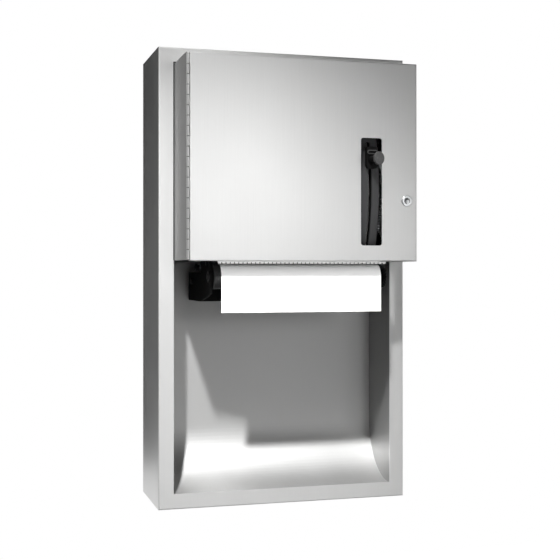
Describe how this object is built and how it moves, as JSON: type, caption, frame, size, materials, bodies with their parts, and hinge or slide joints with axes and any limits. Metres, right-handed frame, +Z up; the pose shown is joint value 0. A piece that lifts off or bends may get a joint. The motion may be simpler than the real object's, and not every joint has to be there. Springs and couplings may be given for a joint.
{
  "type": "roll paper towel dispenser",
  "caption": "Wall-hung stainless roll paper towel dispenser: hinged, locked door with a lever slot, feed roller and tear bar above an open towel recess with a curved scoop bottom.",
  "frame": {"origin": "centre of the four wall-screw holes, in the back panel's rear face", "axes": "+Z up, +Y towards the wall, the door facing -Y, +X to the right as seen from the front"},
  "size_m": [0.3238, 0.226, 0.5715],
  "materials": {
    "satin_stainless": "satin, vertical grain",
    "plated_steel": "zinc plated",
    "lock_chrome": "polished",
    "knob_metal": "satin dark grey",
    "black_plastic": "matte black",
    "grey_plastic": "matte dark grey",
    "gear_plastic": "matte",
    "roller_rubber": "matte",
    "towel_paper": "crepe",
    "core_board": "plain"
  },
  "bodies": {
    "cabinet": {"cabinet_collar": "satin_stainless", "back_panel": "satin_stainless", "scoop_panel": "satin_stainless", "recess_side_left": "satin_stainless", "recess_side_right": "satin_stainless", "hinge_side_panel": "satin_stainless", "latch_side_panel": "satin_stainless", "hinge_leaf_fixed": "satin_stainless", "hinge_pin": "plated_steel", "lock_strike": "plated_steel", "mechanism_plate_left": "black_plastic", "mechanism_plate_right": "black_plastic", "housing_tray": "black_plastic", "tray_screws": "plated_steel", "tie_rods": "plated_steel", "tie_rod_screws": "plated_steel", "idler_stud": "plated_steel", "idler_clip": "plated_steel", "lever_stud": "plated_steel", "lever_clip": "plated_steel", "lever_stop": "plated_steel", "lever_guide": "grey_plastic", "guide_channel": "black_plastic", "guide_bracket_upper": "plated_steel", "guide_bracket_lower": "plated_steel", "lever_spring": "plated_steel", "roll_arm_left": "plated_steel", "roll_arm_right": "plated_steel", "roll_pin_left": "plated_steel", "roll_pin_right": "plated_steel", "paper_web": "towel_paper"},
    "door": {"door_panel": "satin_stainless", "hinge_leaf_door": "satin_stainless", "tear_bar": "satin_stainless", "lock_barrel": "lock_chrome", "lock_nut": "plated_steel"},
    "lock": {"lock_plug": "lock_chrome", "lock_cam": "plated_steel", "cam_screw": "plated_steel"},
    "lever": {"lever_arm": "plated_steel", "lever_head": "black_plastic", "lever_knob": "knob_metal"},
    "idler": {"idler_gear": "gear_plastic"},
    "feed": {"feed_shaft": "plated_steel", "feed_roller": "roller_rubber", "feed_gear": "gear_plastic", "feed_clips": "plated_steel"},
    "pinch": {"pinch_roller": "roller_rubber", "pinch_shaft": "plated_steel"},
    "roll": {"roll_hub_left": "black_plastic", "roll_hub_right": "black_plastic", "roll_core": "core_board", "paper_roll": "towel_paper"}
  },
  "joints": [
    {"name": "door_hinge", "type": "hinge", "parent": "cabinet", "child": "door", "pos_m": [-0.14037, -0.1991, 0.011], "axis": [0, 0, -1], "range_deg": [0, 110]},
    {"name": "lock_turn", "type": "hinge", "parent": "door", "child": "lock", "pos_m": [0.13367, -0.188, -0.0386], "axis": [0, 1, 0], "range_deg": [0, 90]},
    {"name": "lever_swing", "type": "hinge", "parent": "cabinet", "child": "lever", "pos_m": [0.116, -0.07485, -0.02983], "axis": [1, 0, 0], "range_deg": [0, 38], "stiffness_Nm_per_rad": 1.2, "springref_deg": -20.05},
    {"name": "idler_spin", "type": "hinge", "parent": "cabinet", "child": "idler", "pos_m": [0.113, -0.14263, -0.10185], "axis": [1, 0, 0], "range_deg": [-236, 0]},
    {"name": "feed_spin", "type": "hinge", "parent": "cabinet", "child": "feed", "pos_m": [0, -0.171, -0.132], "axis": [1, 0, 0], "range_deg": [0, 542]},
    {"name": "pinch_spin", "type": "hinge", "parent": "cabinet", "child": "pinch", "pos_m": [0, -0.15474, -0.11574], "axis": [1, 0, 0], "range_deg": [-1066, 0]},
    {"name": "roll_spin", "type": "hinge", "parent": "cabinet", "child": "roll", "pos_m": [0.004, -0.085, 0.046], "axis": [1, 0, 0], "continuous": true}
  ],
  "couplings": [
    {"joint": "idler_spin", "follows": "lever_swing", "ratio": -6.1818},
    {"joint": "feed_spin", "follows": "lever_swing", "ratio": 14.218},
    {"joint": "pinch_spin", "follows": "lever_swing", "ratio": -27.978}
  ]
}
